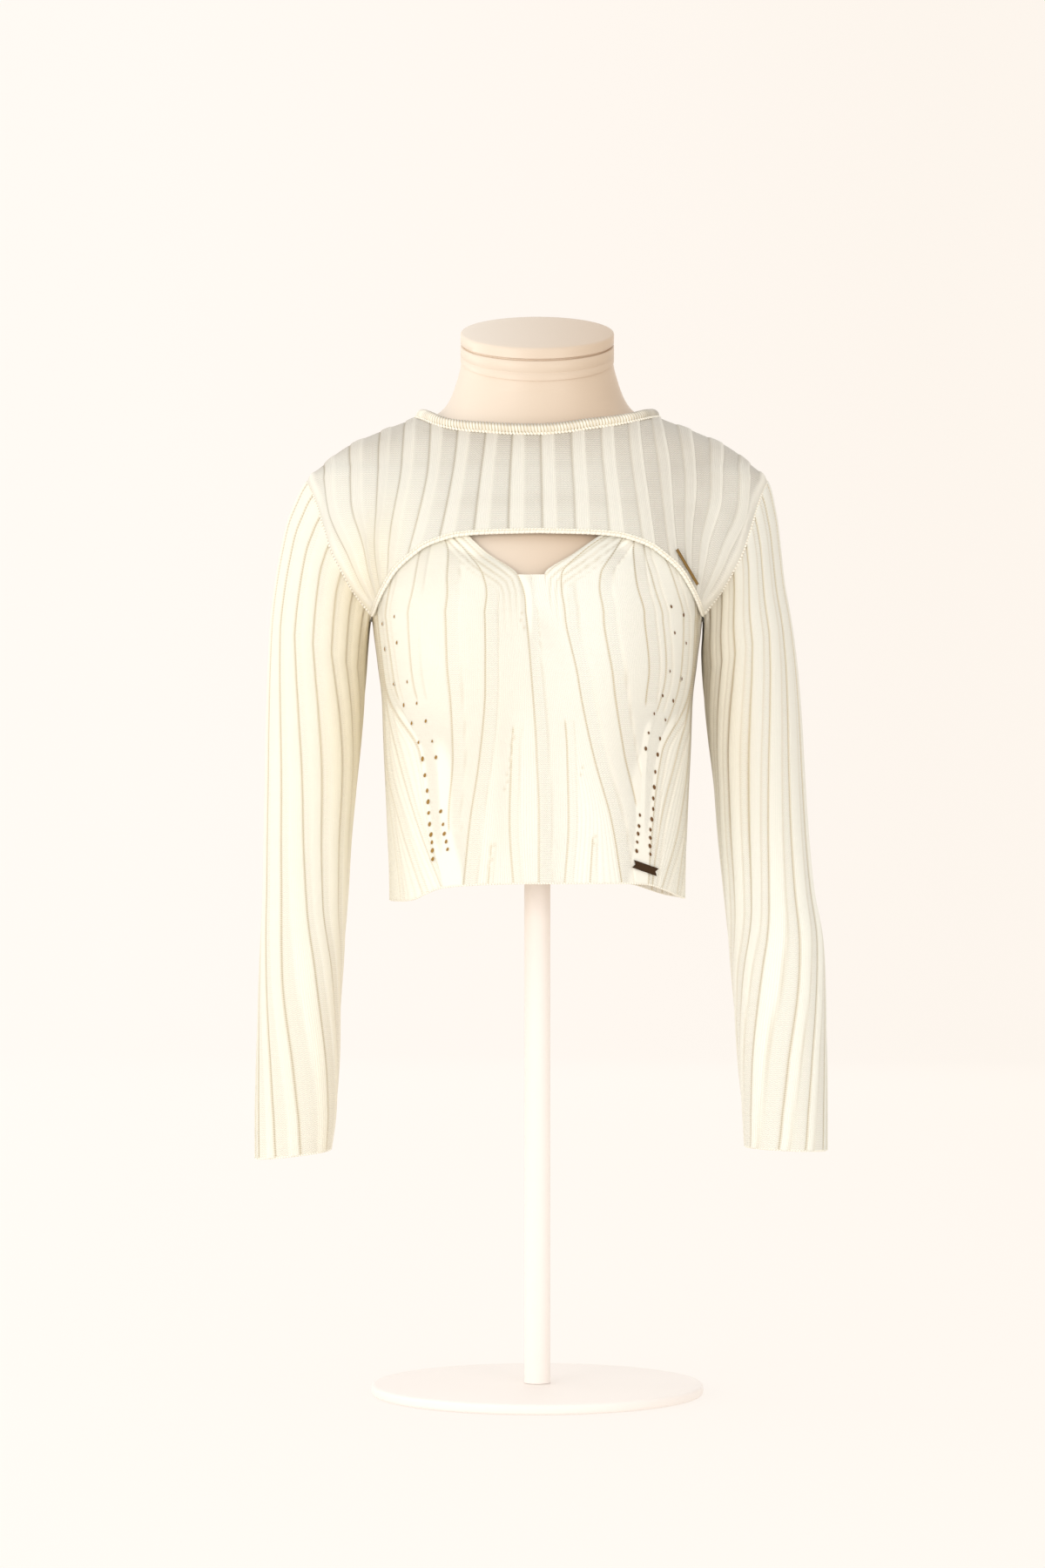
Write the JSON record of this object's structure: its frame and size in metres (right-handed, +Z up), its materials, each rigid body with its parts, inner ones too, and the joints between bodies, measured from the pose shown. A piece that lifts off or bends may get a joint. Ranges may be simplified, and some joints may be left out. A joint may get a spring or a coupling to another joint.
{
  "type": "layered crop top on dress form",
  "caption": "Cream rib-knit crop top: long-sleeved arched shrug over a corset-like inner top with a V neckline, on a limbless dress form with a pole and round base.",
  "frame": {"origin": "on the floor, at the middle of the round base", "axes": "+Z up, the front of the garment faces -Y, +X is the viewer's right seen from the front"},
  "size_m": [0.4803, 0.28, 0.9142],
  "materials": {
    "rib_knit": "matte cream rib knit",
    "edge_knit": "matte cream chain-like knit edge",
    "form_shell": "satin beige shell",
    "stand_paint": "satin off-white paint",
    "bronze": "dark bronze plate",
    "gold": "antique gold plate"
  },
  "bodies": {
    "root": {"yoke_front": "rib_knit", "yoke_back": "rib_knit", "top_front": "rib_knit", "top_back": "rib_knit", "sleeve_left": "rib_knit", "sleeve_right": "rib_knit", "neck_collar": "edge_knit", "yoke_edge_front": "edge_knit", "yoke_edge_back": "edge_knit", "hem_plate": "bronze", "yoke_plate": "gold", "form_torso": "form_shell", "form_neck_cap": "form_shell", "stand_base": "stand_paint", "stand_pole": "stand_paint"}
  },
  "joints": []
}
